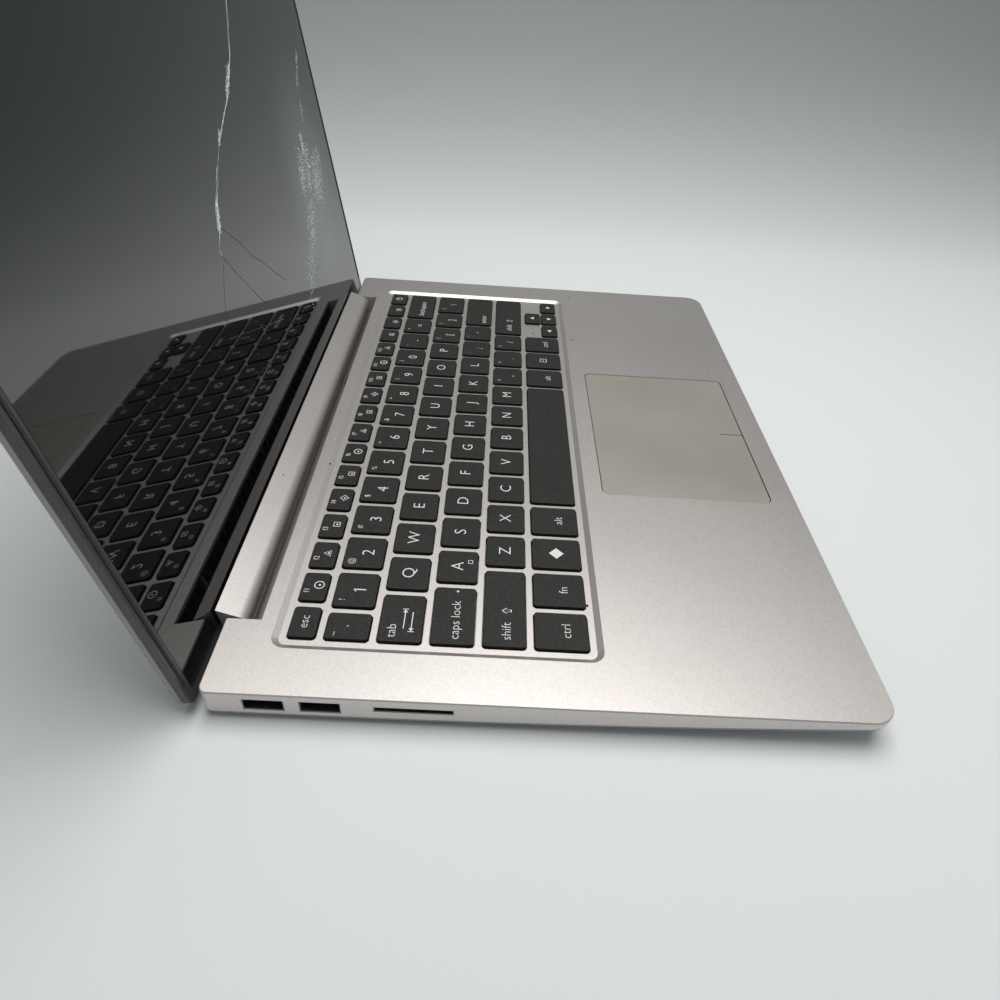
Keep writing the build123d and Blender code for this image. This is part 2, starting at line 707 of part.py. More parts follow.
with BuildPart() as fan_housing:
    with BuildSketch(deck(fan_top)):
        with Locations((fan_x, fan_y)):
            RectangleRounded(*fan_box, 3.0)
    extrude(amount=fan_top - fan_bottom)
    with BuildSketch(deck(fan_top + fan_sheet)):
        with Locations((fan_x, fan_y)):
            Circle(fan_r + 1.2)
        with Locations((fan_x, fan_y + fan_box[1] / 2)):
            Rectangle(fan_box[0] - 6, fan_box[1] / 2)
    extrude(amount=-(fan_bottom - fan_top - 2 * fan_sheet), mode=Mode.SUBTRACT)
    with BuildSketch(deck(fan_bottom)):
        with Locations((fan_x, fan_y)):
            Circle(fan_r - 5)
    extrude(amount=fan_sheet, mode=Mode.SUBTRACT)
    # bush for the rotor's shaft
    with BuildSketch(deck(fan_top + fan_sheet)):
        with Locations((fan_x, fan_y)):
            Circle(bush_r)
    extrude(amount=-bush_long)
    with BuildSketch(deck(fan_top + fan_sheet)):
        with Locations((fan_x, fan_y)):
            Circle(shaft_r + pin_fit)
    extrude(amount=-bush_long, mode=Mode.SUBTRACT)
save(fan_housing.part, "fan_housing")

with BuildPart() as fan_rotor:
    hub_top, hub_bottom = fan_top + fan_sheet + 0.5, fan_bottom - fan_sheet - 0.3
    with BuildSketch(deck(hub_top)):
        with Locations((fan_x, fan_y)):
            Circle(hub_r)
            with PolarLocations(0, blades):
                with Locations((fan_r / 2, 0)):
                    Rectangle(fan_r, 0.6)
    extrude(amount=hub_top - hub_bottom)
    with BuildSketch(deck(hub_top)):
        with Locations((fan_x, fan_y)):
            Circle(bush_r + 0.6)
            Circle(shaft_r, mode=Mode.SUBTRACT)
    extrude(amount=-(bush_long + 0.3), mode=Mode.SUBTRACT)
    with BuildSketch(deck(hub_top)):
        with Locations((fan_x, fan_y)):
            Circle(shaft_r)
    extrude(amount=0.4)
save(fan_rotor.part, "fan_rotor")

with BuildPart() as display_cable_base:
    # flat cable from the mainboard, through the grille, to the front of the hinge cover
    with BuildSketch(deck(cable_below - cable_thick / 2)):
        with Locations((cable_x, (92.5 + cable_end) / 2)):
            Rectangle(cable_wide, cable_end - 92.5)
    extrude(amount=-cable_thick)
    with BuildSketch(deck(cable_below - cable_thick / 2)):
        with Locations((cable_x - 8, 89.0)):
            Rectangle(cable_wide + 16, 8.0)
    extrude(amount=-cable_thick)
save(display_cable_base.part, "display_cable_base")


# ================================================================ HINGES
lug_back = axis_back + pin_r
for hand, s in (("left", -1), ("right", 1)):
    with BuildPart() as bracket:
        # steel plate under the deck with a lug that holds the pin
        with BuildSketch(deck(deck_skin + bracket_pad)):
            with Locations((s * (bracket_in + bracket_wide / 2), bracket_y)):
                Rectangle(bracket_wide, 11.0)
            with Locations((s * (bracket_in + lug_wide / 2), (bracket_y + lug_back) / 2)):
                Rectangle(lug_wide, lug_back - bracket_y)
        extrude(amount=-bracket_skin)
        with BuildSketch(deck(deck_skin + bracket_pad)):
            with Locations((s * (bracket_in + lug_wide / 2), (lug_front + lug_back) / 2)):
                Rectangle(lug_wide, lug_back - lug_front)
        extrude(amount=-(axis_below + 2.6 - deck_skin - bracket_pad))
        with BuildSketch(side(s * (bracket_in - 1))):
            with Locations((axis_back, -axis_below)):
                Circle(pin_r + 0.02)
        extrude(amount=s * (lug_wide + 2), mode=Mode.SUBTRACT)
        with BuildSketch(deck(deck_skin + bracket_pad)):
            with Locations(*[place for place in bracket_screw_places() if place[0] * s > 0]):
                Circle(screw_r + fit)
        extrude(amount=-bracket_skin, mode=Mode.SUBTRACT)
    save(bracket.part, f"hinge_bracket_{hand}")

    with BuildPart() as arm:
        # steel leaf on the lid cover, with a knuckle that turns on the pin
        knuckle_x = s * (arm_in + arm_out) / 2
        with BuildSketch(lid(leaf_d)):
            with Locations((s * (arm_out - leaf_long / 2), (leaf_low + leaf_high) / 2)):
                RectangleRounded(leaf_long, leaf_high - leaf_low, 1.5)
        extrude(amount=-leaf_skin)
        with BuildSketch(hinge_side(s * arm_in)):
            with Locations((0, 0)):
                Circle(arm_r)
            with Locations(((leaf_d + leaf_skin) / 2, (leaf_low + leaf_low + 2.6) / 2)):
                Rectangle(leaf_d + leaf_skin, 2.6)
        extrude(amount=s * (arm_out - arm_in))
        with BuildSketch(hinge_side(s * arm_in)):
            Circle(pin_r + pin_fit)
        extrude(amount=s * (arm_out - arm_in), mode=Mode.SUBTRACT)
        with BuildSketch(lid(leaf_d)):
            with Locations(*[place for place in arm_screw_places() if place[0] * s > 0]):
                Circle(screw_r + fit)
        extrude(amount=-leaf_skin, mode=Mode.SUBTRACT)
    save(arm.part, f"hinge_arm_{hand}")

with BuildPart() as hinge_pins:
    for s in (-1, 1):
        with BuildSketch(side(s * (arm_in + 0.3))):
            with Locations((axis_back, -axis_below)):
                Circle(pin_r)
        extrude(amount=s * (bracket_in + lug_wide - arm_in - 0.3))
save(hinge_pins.part, "hinge_pins")

with BuildPart() as bracket_screws:
    head_face = deck_skin + bracket_pad + bracket_skin
    with BuildSketch(deck(head_face)):
        with Locations(*bracket_screw_places()):
            Circle(head_r)
    extrude(amount=-head_high)
    with BuildSketch(deck(head_face)):
        with Locations(*bracket_screw_places()):
            Circle(screw_r)
    extrude(amount=bracket_skin + bracket_pad + 0.4)
save(bracket_screws.part, "bracket_screws")

with BuildPart() as arm_screws:
    with BuildSketch(lid(leaf_d)):
        with Locations(*arm_screw_places()):
            Circle(head_r)
    extrude(amount=0.6)
    with BuildSketch(lid(leaf_d)):
        with Locations(*arm_screw_places()):
            Circle(screw_r)
    extrude(amount=-2.0)
save(arm_screws.part, "arm_screws")

# closed D of the hinge cover: round in front, a flat that leans back to the glass
back_d = glass_d - cover_gap
top_s = 8.4
reach = hypot(back_d, top_s)
touch = atan2(top_s, back_d) + acos(cover_r / reach)
touch_point = (cover_r * cos(touch), cover_r * sin(touch))
low_s = -((cover_r**2 - back_d**2) ** 0.5)


def cover_outline():
    with BuildSketch() as outline:
        with BuildLine():
            Line((back_d, top_s), touch_point)
            ThreePointArc(touch_point, (-cover_r * cos(radians(30)), -cover_r * sin(radians(30))), (back_d, low_s))
            Line((back_d, low_s), (back_d, top_s))
        make_face()
    return outline.sketch


with BuildPart() as hinge_cover:
    with BuildSketch(hinge_side(-cover_half)):
        add(cover_outline())
    extrude(amount=2 * cover_half)
    with BuildSketch(hinge_side(-cover_half + cover_cap)):
        add(cover_outline())
        offset(amount=-cover_wall, mode=Mode.REPLACE)
        with Locations((back_d, (top_s + low_s) / 2 - 0.2)):
            Rectangle(2.4 * cover_wall, top_s - low_s - 2.6)
    extrude(amount=2 * (cover_half - cover_cap), mode=Mode.SUBTRACT)
    with BuildSketch(hinge_side(-cover_half - 1)):
        Circle(pin_r + pin_clear)
    extrude(amount=2 * (cover_half + 1), mode=Mode.SUBTRACT)
save(hinge_cover.part, "hinge_cover")


# ================================================================ LID
with BuildPart() as lid_cover:
    with BuildSketch(lid(frame_d + seam / 2)):
        add(lid_outline())
    extrude(amount=-(cover_out_d - frame_d - seam / 2))
    fillet(lid_cover.faces().sort_by(Axis((0, 0, 0), -lid_front))[-1].edges(), lid_edge)
    with BuildSketch(lid(frame_d + seam / 2)):
        add(lid_outline(lid_wall))
    extrude(amount=-(cover_in_d - frame_d - seam / 2), mode=Mode.SUBTRACT)
    # bosses for the hinge arms
    with BuildSketch(lid(leaf_d + leaf_skin)):
        with Locations(*arm_screw_places()):
            Circle(2.0)
    extrude(amount=-(cover_in_d - leaf_d - leaf_skin))
    with BuildSketch(lid(leaf_d + leaf_skin)):
        with Locations(*arm_screw_places()):
            Circle(screw_r + fit / 2)
    extrude(amount=-1.1, mode=Mode.SUBTRACT)
save(lid_cover.part, "lid_cover")

with BuildPart() as lid_frame:
    # dark plastic rim round the glass, with a ledge behind it
    with BuildSketch(lid(glass_d + 0.05)):
        add(lid_outline())
        add(lid_outline(rim), mode=Mode.SUBTRACT)
    extrude(amount=-(frame_d - glass_d - 0.05))
    with BuildSketch(lid(glass_d + glass_skin + 0.15)):
        add(lid_outline(rim - 0.5))
        add(lid_outline(rim + ledge), mode=Mode.SUBTRACT)
        with Locations((0, 2.0)):
            Rectangle(2 * notch_half, 12.0, mode=Mode.SUBTRACT)
    extrude(amount=-(frame_d - glass_d - glass_skin - 0.15))
    # groove for the gasket
    with BuildSketch(lid(glass_d)):
        add(lid_outline(gasket_inset - fit / 2))
        add(lid_outline(gasket_inset + gasket_wide + fit / 2), mode=Mode.SUBTRACT)
        with Locations((0, 0)):
            Rectangle(width + 2, 12.0, mode=Mode.SUBTRACT)
    extrude(amount=-gasket_deep, mode=Mode.SUBTRACT)
save(lid_frame.part, "lid_frame")

with BuildPart() as rim_gasket:
    with BuildSketch(lid(glass_d + 0.05 - gasket_proud)):
        add(lid_outline(gasket_inset))
        add(lid_outline(gasket_inset + gasket_wide), mode=Mode.SUBTRACT)
        with Locations((0, 0)):
            Rectangle(width + 2, 12.2, mode=Mode.SUBTRACT)
    extrude(amount=-(gasket_proud + gasket_deep - 0.1))
save(rim_gasket.part, "rim_gasket")

with BuildPart() as cover_glass:
    with BuildSketch(lid(glass_d)):
        add(lid_outline(rim + fit))
        with Locations((0, 0)):
            Rectangle(2 * notch_half, 2 * notch_high, mode=Mode.SUBTRACT)
    extrude(amount=-glass_skin)
    # cracks, cut as narrow grooves into the front face
    for crack in cracks:
        with BuildSketch(lid(glass_d)):
            with BuildLine():
                Polyline(*crack)
            trace(line_width=crack_wide)
        extrude(amount=-crack_deep, mode=Mode.SUBTRACT)
save(cover_glass.part, "cover_glass")


def lid_block(name, places, wide, tall, front_d, back_face_d, round_r=0.6):
    """Equal rounded blocks inside the lid, at lid coordinates, between two depths."""
    with BuildPart() as piece:
        with BuildSketch(lid(front_d)):
            with Locations(*places):
                RectangleRounded(wide, tall, round_r)
        extrude(amount=front_d - back_face_d)
    save(piece.part, name)


panel_mid = (panel_low + panel_high) / 2
glass_back = glass_d + glass_skin + fit
lid_block("display_panel", [(0, panel_mid)], 2 * panel_half, panel_high - panel_low, glass_back, 8.6, 2.0)
lid_block("webcam_module", [(0, lid_top - 9.6)], 44.0, 5.6, glass_back, 8.8)
lid_block("antennas", [(-78.0, lid_top - 9.6), (78.0, lid_top - 9.6)], 52.0, 5.6, 8.3, cover_in_d - fit)
lid_block("lid_magnets", [(-140.0, lid_top - 12.0), (140.0, lid_top - 12.0)], 14.0, 5.0, 7.4, cover_in_d - fit)

with BuildPart() as display_cable_lid:
    # flat cable up the back of the panel, its end turned forward into the hinge cover
    with BuildSketch(lid(8.7)):
        with Locations((cable_x, (3.0 + 34.0) / 2)):
            Rectangle(cable_wide, 31.0)
    extrude(amount=-0.4)
    with BuildSketch(lid(9.1)):
        with Locations((cable_x, 3.2)):
            Rectangle(cable_wide, 0.4)
    extrude(amount=7.1)
save(display_cable_lid.part, "display_cable_lid")
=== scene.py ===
import json
import math
import random

import bpy
from mathutils import Matrix, Vector


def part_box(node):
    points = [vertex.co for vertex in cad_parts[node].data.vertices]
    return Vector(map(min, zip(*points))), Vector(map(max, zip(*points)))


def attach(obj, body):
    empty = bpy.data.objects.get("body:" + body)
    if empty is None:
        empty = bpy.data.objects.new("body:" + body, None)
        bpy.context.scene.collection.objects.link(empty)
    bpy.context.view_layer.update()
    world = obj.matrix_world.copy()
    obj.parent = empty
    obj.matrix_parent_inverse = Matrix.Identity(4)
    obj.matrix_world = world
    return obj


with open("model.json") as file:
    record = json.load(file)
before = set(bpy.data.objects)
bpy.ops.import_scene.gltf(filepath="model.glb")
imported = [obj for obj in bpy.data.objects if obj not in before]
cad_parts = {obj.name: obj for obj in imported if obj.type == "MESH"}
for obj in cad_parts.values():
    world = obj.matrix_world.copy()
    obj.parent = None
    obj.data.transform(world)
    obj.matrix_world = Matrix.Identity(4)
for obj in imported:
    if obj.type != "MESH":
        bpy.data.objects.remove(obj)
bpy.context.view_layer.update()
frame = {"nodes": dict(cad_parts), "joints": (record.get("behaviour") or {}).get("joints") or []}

MM = 0.001


# ---------------------------------------------------------------- light tent
# The machine stands in a pale tent: one sheet makes the floor and bends up into the walls on
# the far side and in front. Matt white sheet, lit from above by a broad soft light; towards the
# far wall its colour is painted dark grey, a painted shade.
deck_low, deck_high = (Vector(corner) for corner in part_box("top_case"))
deck_z = deck_high.z
deck_mid_y = (deck_low.y + deck_high.y) / 2


def deck_point(x, y, above=0.0):
    """A place in deck coordinates, given in millimetres, as a point in the frame."""
    return Vector((x * MM, deck_mid_y + y * MM, deck_z + above * MM))


class Value:
    """A shader socket that Python's operators extend with Math nodes."""

    def __init__(self, tree, socket):
        self.tree, self.socket = tree, socket

    def maths(self, operation, first, second=None):
        node = self.tree.nodes.new("ShaderNodeMath")
        node.operation = operation
        for slot, item in zip(node.inputs, (first, second)):
            if isinstance(item, Value):
                self.tree.links.new(item.socket, slot)
            elif item is not None:
                slot.default_value = item
        return Value(self.tree, node.outputs[0])

    def __add__(self, other):
        return self.maths("ADD", self, other)

    def __radd__(self, other):
        return self.maths("ADD", other, self)

    def __sub__(self, other):
        return self.maths("SUBTRACT", self, other)

    def __rsub__(self, other):
        return self.maths("SUBTRACT", other, self)

    def __mul__(self, other):
        return self.maths("MULTIPLY", self, other)

    def __rmul__(self, other):
        return self.maths("MULTIPLY", other, self)

    def __gt__(self, other):
        return self.maths("GREATER_THAN", self, other)

    def __lt__(self, other):
        return self.maths("LESS_THAN", self, other)

    def size(self):
        return self.maths("ABSOLUTE", self)

    def root(self):
        return self.maths("SQRT", self)


class Finish:
    """One material: a Principled shader and the nodes that feed it."""

    def __init__(self, name, color, roughness, metallic=0.0, **fixed):
        self.material = bpy.data.materials.new(name)
        self.material.use_nodes = True
        self.tree = self.material.node_tree
        self.shader = self.tree.nodes["Principled BSDF"]
        self.shader.inputs["Base Color"].default_value = (*color, 1.0)
        self.shader.inputs["Roughness"].default_value = roughness
        self.shader.inputs["Metallic"].default_value = metallic
        for key, number in fixed.items():
            self.shader.inputs[key.replace("_", " ")].default_value = number
        self.place = self.tree.nodes.new("ShaderNodeTexCoord").outputs["Object"]

    def node(self, kind, settings=None, **inputs):
        node = self.tree.nodes.new(kind)
        for key, setting in (settings or {}).items():
            setattr(node, key, setting)
        for key, item in inputs.items():
            slot = node.inputs[int(key[1:])] if key[0] == "i" and key[1:].isdigit() else node.inputs[key]
            if isinstance(item, Value):
                self.tree.links.new(item.socket, slot)
            elif isinstance(item, bpy.types.NodeSocket):
                self.tree.links.new(item, slot)
            else:
                slot.default_value = item
        return node

    def noise(self, scale, detail=2.0):
        return Value(self.tree, self.node("ShaderNodeTexNoise", Vector=self.place, Scale=scale,
                                          Detail=detail).outputs[0])

    def cells(self, scale):
        return Value(self.tree, self.node("ShaderNodeTexVoronoi", Vector=self.place,
                                          Scale=scale).outputs["Distance"])

    def axes(self):
        split = self.node("ShaderNodeSeparateXYZ", Vector=self.place)
        return [Value(self.tree, out) for out in split.outputs]

    def blend(self, mask, first, second):
        """Mix of two colours, each a colour or an earlier mix's output."""
        pair = [item if isinstance(item, bpy.types.NodeSocket) else (*item, 1.0) for item in (first, second)]
        mix = self.node("ShaderNodeMix", {"data_type": "RGBA"}, i0=mask, i6=pair[0], i7=pair[1])
        return mix.outputs[2]

    def feed(self, name, source):
        socket = source.socket if isinstance(source, Value) else source
        self.tree.links.new(socket, self.shader.inputs[name])

    def mottle(self, scale, first, second):
        """Base colour that drifts between two tones."""
        self.feed("Base Color", self.blend(self.noise(scale), first, second))

    def bump(self, height, strength, distance):
        node = self.node("ShaderNodeBump", Height=height, Strength=strength, Distance=distance)
        self.tree.links.new(node.outputs[0], self.shader.inputs["Normal"])


tent_white = Finish("tent_white", (0.80, 0.815, 0.815), 0.85)
paper = tent_white.blend(tent_white.noise(3.0), (0.74, 0.775, 0.78), (0.77, 0.80, 0.805))
shade_from, shade_to = 0.26, 0.66
# Painted shade: towards the far wall the sheet's colour fades to dark grey.
far_wall_painted_shade = tent_white.node("ShaderNodeMapRange", {"interpolation_type": "SMOOTHSTEP"},
                            i0=tent_white.axes()[0], i1=shade_from, i2=shade_to, i3=0.0, i4=1.0).outputs[0]
tent_white.feed("Base Color", tent_white.blend(far_wall_painted_shade, paper, (0.23, 0.245, 0.245)))
tent_white.bump(tent_white.noise(500.0), 0.08, 0.0004)

sheet_far, sheet_near, sheet_side = 0.62, -0.75, 0.8
bend_r, wall_high, bend_steps = 0.28, 0.40, 14
profile = [(sheet_near, 0.0)]
for step in range(bend_steps + 1):
    turn = math.radians(90 * step / bend_steps)
    profile.append((sheet_far - bend_r + bend_r * math.sin(turn), bend_r - bend_r * math.cos(turn)))
profile.append((sheet_far, wall_high))
sheet_mesh = bpy.data.meshes.new("tent_sheet")
points = [(x, y, z) for x, z in profile for y in (-sheet_side, sheet_side)]
faces = [(2 * i, 2 * i + 2, 2 * i + 3, 2 * i + 1) for i in range(len(profile) - 1)]
sheet_mesh.from_pydata(points, [], faces)
sheet_mesh.materials.append(tent_white.material)
for face in sheet_mesh.polygons:
    face.use_smooth = True
tent_sheet = bpy.data.objects.new("tent_sheet", sheet_mesh)
bpy.context.scene.collection.objects.link(tent_sheet)

front_wall = bpy.data.meshes.new("tent_front")
front_y = -0.7
front_wall.from_pydata([(sheet_near, front_y, 0), (sheet_far, front_y, 0), (sheet_far, front_y, wall_high),
                        (sheet_near, front_y, wall_high)], [], [(0, 1, 2, 3)])
front_wall.materials.append(tent_white.material)
tent_front = bpy.data.objects.new("tent_front", front_wall)
bpy.context.scene.collection.objects.link(tent_front)


def soft_light(name, place, aim, wide, power, color=(1.0, 1.0, 1.0)):
    lamp = bpy.data.lights.new(name, "AREA")
    lamp.shape, lamp.size, lamp.energy, lamp.color = "SQUARE", wide, power, color
    holder = bpy.data.objects.new(name, lamp)
    holder.location = place
    holder.rotation_euler = (Vector(aim) - Vector(place)).to_track_quat("-Z", "Y").to_euler()
    bpy.context.scene.collection.objects.link(holder)


soft_light("roof_light", (0.02, -0.06, 0.80), (-0.02, -0.04, 0.0), 0.66, 6.3, (1.0, 0.985, 0.965))
world = bpy.data.worlds.new("tent_air")
world.use_nodes = True
world.node_tree.nodes["Background"].inputs["Color"].default_value = (0.80, 0.83, 0.85, 1.0)
air = world.node_tree
heading = air.nodes.new("ShaderNodeSeparateXYZ")
air.links.new(air.nodes.new("ShaderNodeTexCoord").outputs["Generated"], heading.inputs[0])
behind = air.nodes.new("ShaderNodeMapRange")
for number, limit in enumerate((0.25, -0.25, 0.08, 0.34), 1):
    behind.inputs[number].default_value = limit
air.links.new(heading.outputs[0], behind.inputs[0])
air.links.new(behind.outputs[0], air.nodes["Background"].inputs["Strength"])
bpy.context.scene.world = world
bpy.context.scene.view_settings.view_transform = "Standard"

# Camera at the left of the machine, above the sockets, looking down across the keys.
eye = deck_point(-287.9, 26.6, 189.9)
ahead = Vector((0.7668, -0.0270, -0.6413))
upright = Vector((0.6417, 0.0548, 0.7650))
side_way = ahead.cross(upright).normalized()
upright = side_way.cross(ahead).normalized()
lens = bpy.data.cameras.new("viewer")
lens.lens, lens.sensor_width = 25.2, 36.0
lens.clip_start = 0.01
viewer = bpy.data.objects.new("viewer", lens)
turn = Matrix((side_way, upright, -ahead.normalized())).transposed()
viewer.matrix_world = Matrix.Translation(eye) @ turn.to_4x4()
bpy.context.scene.collection.objects.link(viewer)
bpy.context.scene.camera = viewer


# ---------------------------------------------------------------- top case and hinge cover
# Milled aluminium, blasted and anodised a pale warm silver. It carries dark nicks and the ghost
# of a sticker left of the touchpad.
def dress(finish, *nodes):
    """Give CAD nodes a finish in place of their plain one."""
    for node in nodes:
        item = frame["nodes"][node]
        item = bpy.data.objects[item] if isinstance(item, str) else item
        item.data.materials.clear()
        item.data.materials.append(finish.material)


def patch(finish, low, high, soft=0.5):
    """Mask that is 1 inside a rectangle on the deck, from two deck points, with soft edges."""
    x, y, _ = finish.axes()
    mid, half = (low + high) / 2, (high - low) / 2
    inside = None
    for axis, centre, reach in ((x, mid.x, half.x), (y, mid.y, half.y)):
        edge = finish.node("ShaderNodeMapRange", {"clamp": True}, i0=(axis - centre).size(),
                           i1=reach - soft * MM, i2=reach + soft * MM, i3=1.0, i4=0.0)
        edge = Value(finish.tree, edge.outputs[0])
        inside = edge if inside is None else inside * edge
    return inside


silver = Finish("blasted_silver", (0.78, 0.745, 0.72), 0.36, 0.96)
cloud = silver.noise(9.0)
nicks = (silver.cells(80.0) < 0.05) * (silver.noise(31.0) > 0.56)
dust = (silver.cells(420.0) < 0.10) * (silver.noise(60.0) > 0.60)
ghost = patch(silver, deck_point(-144, -48), deck_point(-124.5, -30)) * silver.noise(140.0)
tint = silver.blend(cloud, (0.63, 0.60, 0.58), (0.68, 0.65, 0.63))
tint = silver.blend((silver.noise(1500.0, 3.0) > 0.53) * 0.35, tint, (0.52, 0.495, 0.475))
tint = silver.blend(ghost * 0.35, tint, (0.62, 0.60, 0.59))
tint = silver.blend(dust * 0.45, tint, (0.40, 0.38, 0.36))
tint = silver.blend(nicks, tint, (0.05, 0.045, 0.04))
silver.feed("Base Color", tint)
silver.feed("Roughness", 0.45 + cloud * 0.07 + ghost * 0.08 + nicks * 0.2)
silver.bump(silver.noise(1700.0, 3.0) + nicks * -3.0, 0.4, 0.00005)
dress(silver, "top_case", "hinge_cover")


# ---------------------------------------------------------------- outer covers
# Bottom cover and lid cover are pressed aluminium sheet, anodised a darker grey, held by
# small blackened screws; the lid cover hooks round the dark frame.
cover_grey = Finish("cover_grey", (0.30, 0.295, 0.29), 0.4, 0.8)
streak = cover_grey.node("ShaderNodeMapping", Vector=cover_grey.place, Scale=(4.0, 900.0, 900.0))
brushed = Value(cover_grey.tree, cover_grey.node("ShaderNodeTexNoise", Vector=streak.outputs[0], Scale=2.0,
                                                 Detail=3.0).outputs[0])
cover_grey.feed("Base Color", cover_grey.blend(brushed, (0.25, 0.245, 0.24), (0.36, 0.35, 0.345)))
cover_grey.feed("Roughness", 0.34 + brushed * 0.14)
cover_grey.bump(brushed, 0.12, 0.00003)
dress(cover_grey, "bottom_cover", "lid_cover")

screw_black = Finish("screw_black", (0.06, 0.06, 0.065), 0.35, 0.9)
screw_black.feed("Roughness", 0.3 + screw_black.noise(900.0) * 0.2)
screw_black.bump(screw_black.noise(3000.0), 0.1, 0.00003)
dress(screw_black, "bottom_screws", "arm_screws", "bracket_screws")


# ---------------------------------------------------------------- rubber
# Four moulded feet glued to the bottom cover and the thin buffer line in the lid's frame.
soft_black = Finish("soft_black", (0.022, 0.022, 0.022), 0.8)
soft_black.mottle(300.0, (0.016, 0.016, 0.016), (0.035, 0.034, 0.033))
soft_black.bump(soft_black.noise(1800.0), 0.3, 0.00005)
dress(soft_black, "front_feet", "rear_feet", "rim_gasket")


# ---------------------------------------------------------------- keys
# Caps are moulded charcoal plastic with a fine grain and flanks painted darker as painted shade,
# clipped on folding supports. A row is 14.5 key units long; plain letters and words are printed
# white on the caps.
key_groups = ("escape_key", "function_keys", "power_key", "number_keys", "upper_letter_keys",
              "home_letter_keys", "enter_key", "lower_letter_keys", "bottom_keys", "space_bar", "arrow_keys")
charcoal = Finish("key_charcoal", (0.035, 0.036, 0.034), 0.5, 0.0, Specular_IOR_Level=0.2)
wear = charcoal.noise(70.0)
charcoal_top = charcoal.blend((charcoal.noise(1400.0, 3.0) > 0.54) * 0.6 + wear * 0.3, (0.020, 0.021, 0.019),
                              (0.040, 0.041, 0.038))
# Painted shade: faces that lean away from up, the cap flanks, are coloured near black.
facing = charcoal.node("ShaderNodeTexCoord").outputs["Normal"]
faces_up = charcoal.node("ShaderNodeSeparateXYZ", Vector=facing)
flank_painted_shade = Value(charcoal.tree, faces_up.outputs[2]) < 0.75
charcoal.feed("Base Color", charcoal.blend(flank_painted_shade, charcoal_top, (0.006, 0.006, 0.006)))
charcoal.feed("Roughness", 0.46 + wear * 0.16)
charcoal.bump(charcoal.noise(1900.0, 3.0), 0.4, 0.00005)
dress(charcoal, *key_groups)

print_white = Finish("legend_white", (0.74, 0.76, 0.74), 0.6)
print_white.mottle(900.0, (0.66, 0.68, 0.66), (0.80, 0.81, 0.79))

units = 14.5
gap = 2.95
row_low, row_high = (Vector(corner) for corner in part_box("number_keys"))
pitch = ((row_high.x - row_low.x) / MM + gap) / units
field_left = row_low.x / MM - gap / 2
print_above = 0.02 * MM


def face_towards(mesh, way):
    """Turns every flat face of a printed or drawn layer to look along one direction."""
    for face in mesh.polygons:
        if face.normal.dot(way) < 0:
            face.flip()


class Print:
    """Legends of one body, gathered into one flat mesh."""

    def __init__(self):
        self.points, self.faces = [], []

    def add(self, points, faces):
        first = len(self.points)
        self.points += points
        self.faces += [[first + i for i in face] for face in faces]

    def word(self, text, x, y, z, size, align="CENTER"):
        curve = bpy.data.curves.new("legend", "FONT")
        curve.body, curve.size, curve.align_x, curve.align_y = text, size, align, "CENTER"
        curve.resolution_u = 3
        curve.offset = -0.011 * size
        holder = bpy.data.objects.new("legend", curve)
        bpy.context.scene.collection.objects.link(holder)
        bpy.context.view_layer.update()
        flat = bpy.data.meshes.new_from_object(holder.evaluated_get(bpy.context.evaluated_depsgraph_get()))
        self.add([(x + v.co.x, y + v.co.y, z) for v in flat.vertices],
                 [list(f.vertices) for f in flat.polygons])
        bpy.data.objects.remove(holder)
        bpy.data.curves.remove(curve)
        bpy.data.meshes.remove(flat)

    def outline(self, corners, x, y, z, size, line):
        """Closed outline of a small sign, drawn with a line of one width."""
        count = len(corners)
        ring = []
        for scale in (1.0, 1.0 - line):
            ring += [(x + cx * size * scale, y + cy * size * scale, z) for cx, cy in corners]
        self.add(ring, [[i, (i + 1) % count, (i + 1) % count + count, i + count] for i in range(count)])

    def sign(self, corners, x, y, z, size):
        self.add([(x + cx * size, y + cy * size, z) for cx, cy in corners], [list(range(len(corners)))])

    def piece(self, name, body):
        mesh = bpy.data.meshes.new(name)
        mesh.from_pydata(self.points, [], self.faces)
        mesh.materials.append(print_white.material)
        mesh.validate()
        face_towards(mesh, Vector((0, 0, 1)))
        item = bpy.data.objects.new(name, mesh)
        bpy.context.scene.collection.objects.link(item)
        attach(item, body)


def polygon(count, start=90.0):
    return [(math.cos(math.radians(start + 360 * i / count)), math.sin(math.radians(start + 360 * i / count)))
            for i in range(count)]


triangle, diamond, square, circle = polygon(3), polygon(4), polygon(4, 45.0), polygon(20)
arrow_up = [(0, 1), (0.75, 0.05), (0.3, 0.05), (0.3, -0.9), (-0.3, -0.9), (-0.3, 0.05), (-0.75, 0.05)]


def caps_of(row_units, node):
    """Centre x, half width and the row's centre y and top z, in metres, for each cap."""
    low, high = (Vector(corner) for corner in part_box(node))
    at, caps = field_left, []
    for unit in row_units:
        caps.append((Vector(((at + unit * pitch / 2) * MM, (low.y + high.y) / 2, high.z + print_above)),
                     (unit * pitch - gap) / 2 * MM, (high.y - low.y) / 2))
        at += unit * pitch
    return caps


